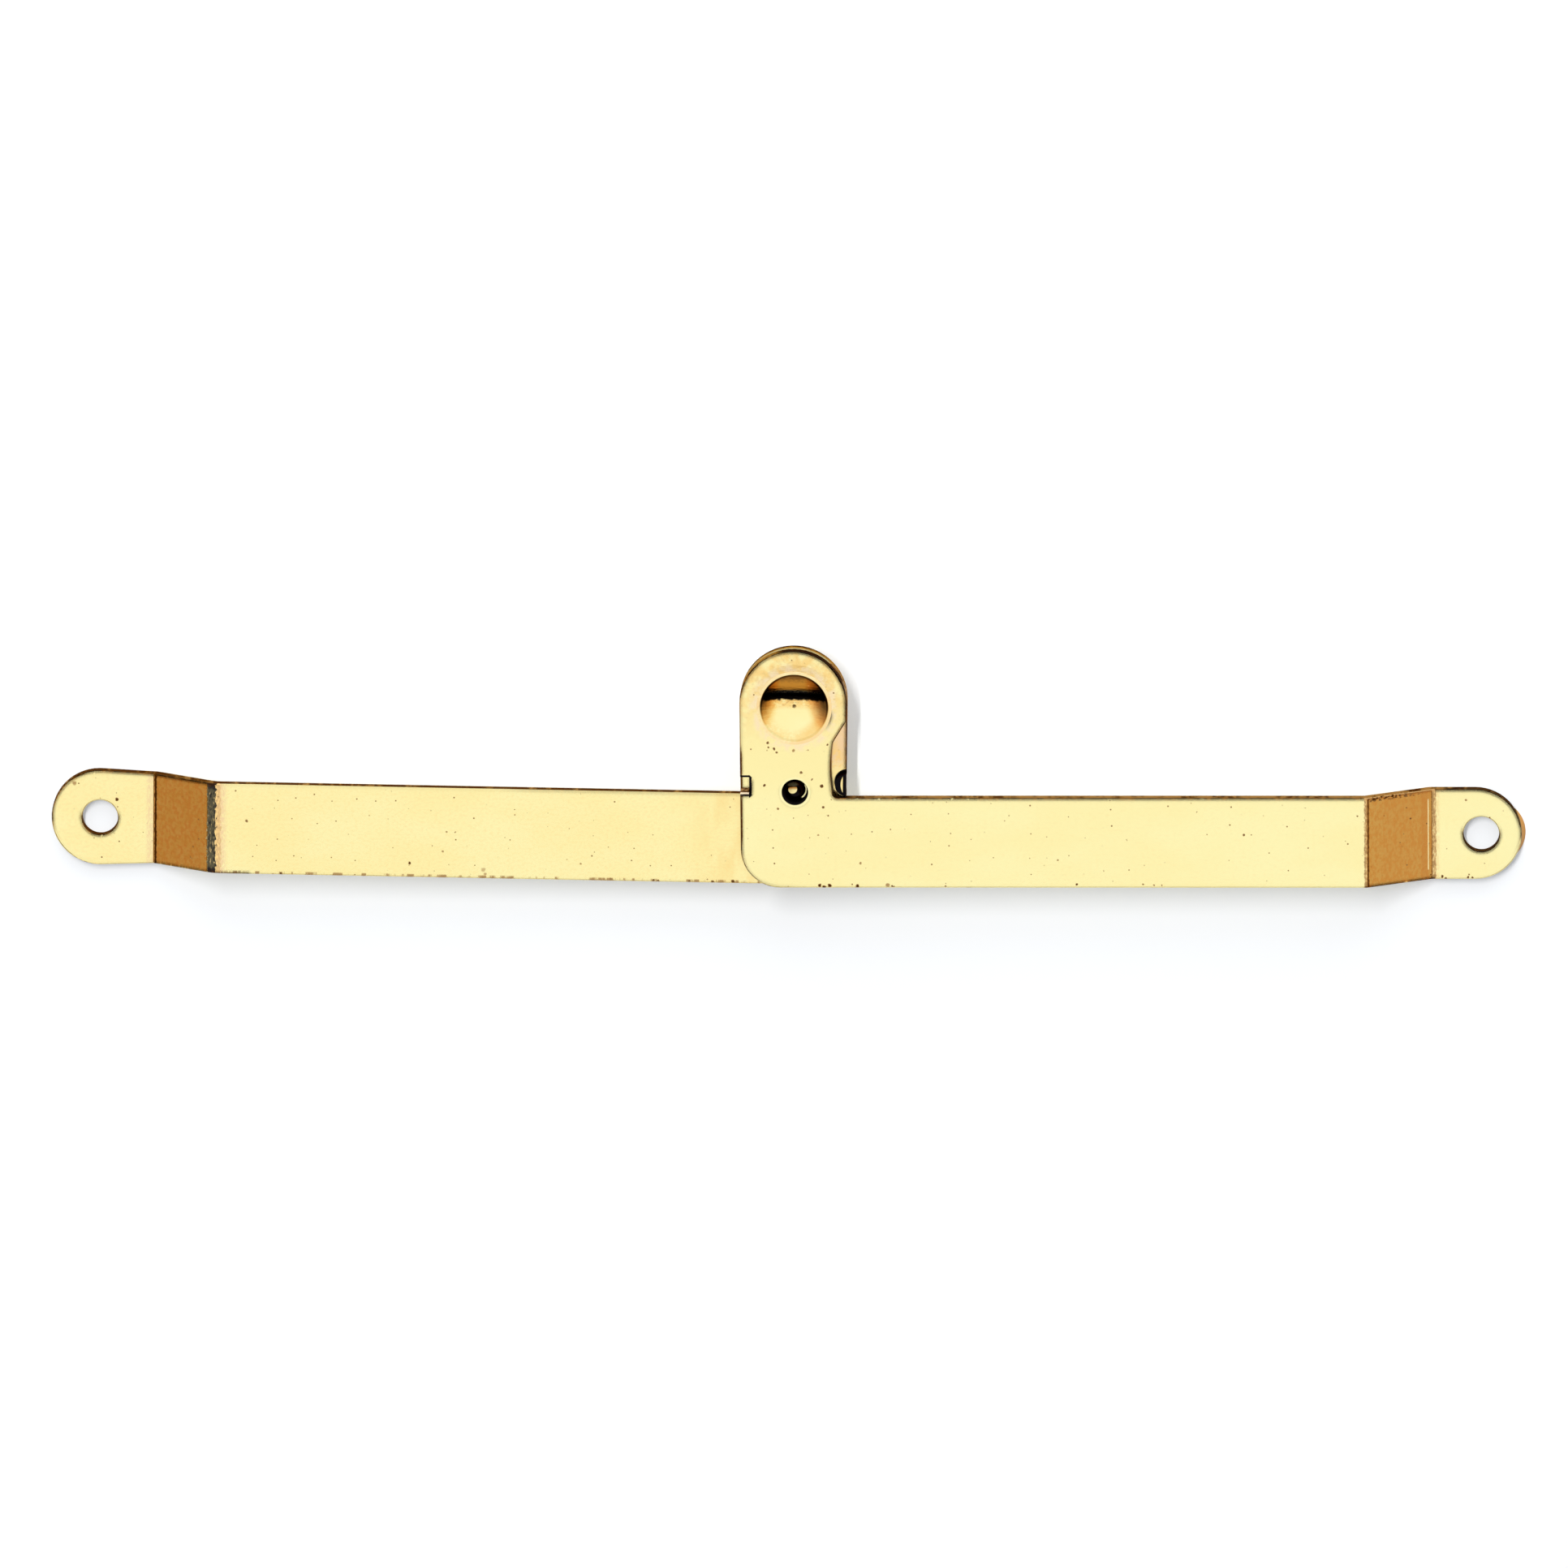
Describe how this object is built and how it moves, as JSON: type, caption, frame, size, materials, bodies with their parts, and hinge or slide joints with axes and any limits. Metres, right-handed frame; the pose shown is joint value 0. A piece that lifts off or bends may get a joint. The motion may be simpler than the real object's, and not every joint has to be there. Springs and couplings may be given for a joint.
{
  "type": "folding lid stay",
  "caption": "Folding stay that holds a box lid open: cranked stamped arms on a dished rivet, locking just past straight against pressed lugs, with a screw hole at either end.",
  "frame": {"origin": "centre of the rear arm's screw hole, on the face of its tab that lies on the box", "axes": "+X along the rear arm from its screw hole towards the pivot, +Y from the strips towards the round heads, +Z out of the face that shows when the stay is fitted"},
  "size_m": [0.1653, 0.0275, 0.0069],
  "materials": {
    "front_arm_plating": "brass plating, bright and slightly mottled, darker at the sheared edges and cranks",
    "rear_arm_plating": "brass plating, bright and slightly mottled, more orange near the pivot",
    "rivet_plating": "brass plating, smooth in the dish and burnished where the rivet is set"
  },
  "bodies": {
    "rear": {"rear_arm": "rear_arm_plating"},
    "front": {"front_arm": "front_arm_plating", "pivot_rivet": "rivet_plating"}
  },
  "joints": [
    {"name": "knuckle_fold", "type": "hinge", "parent": "rear", "child": "front", "pos_m": [0.078, 0.01553, 0.0047], "axis": [0, 0, -1], "range_deg": [0, 144]}
  ]
}
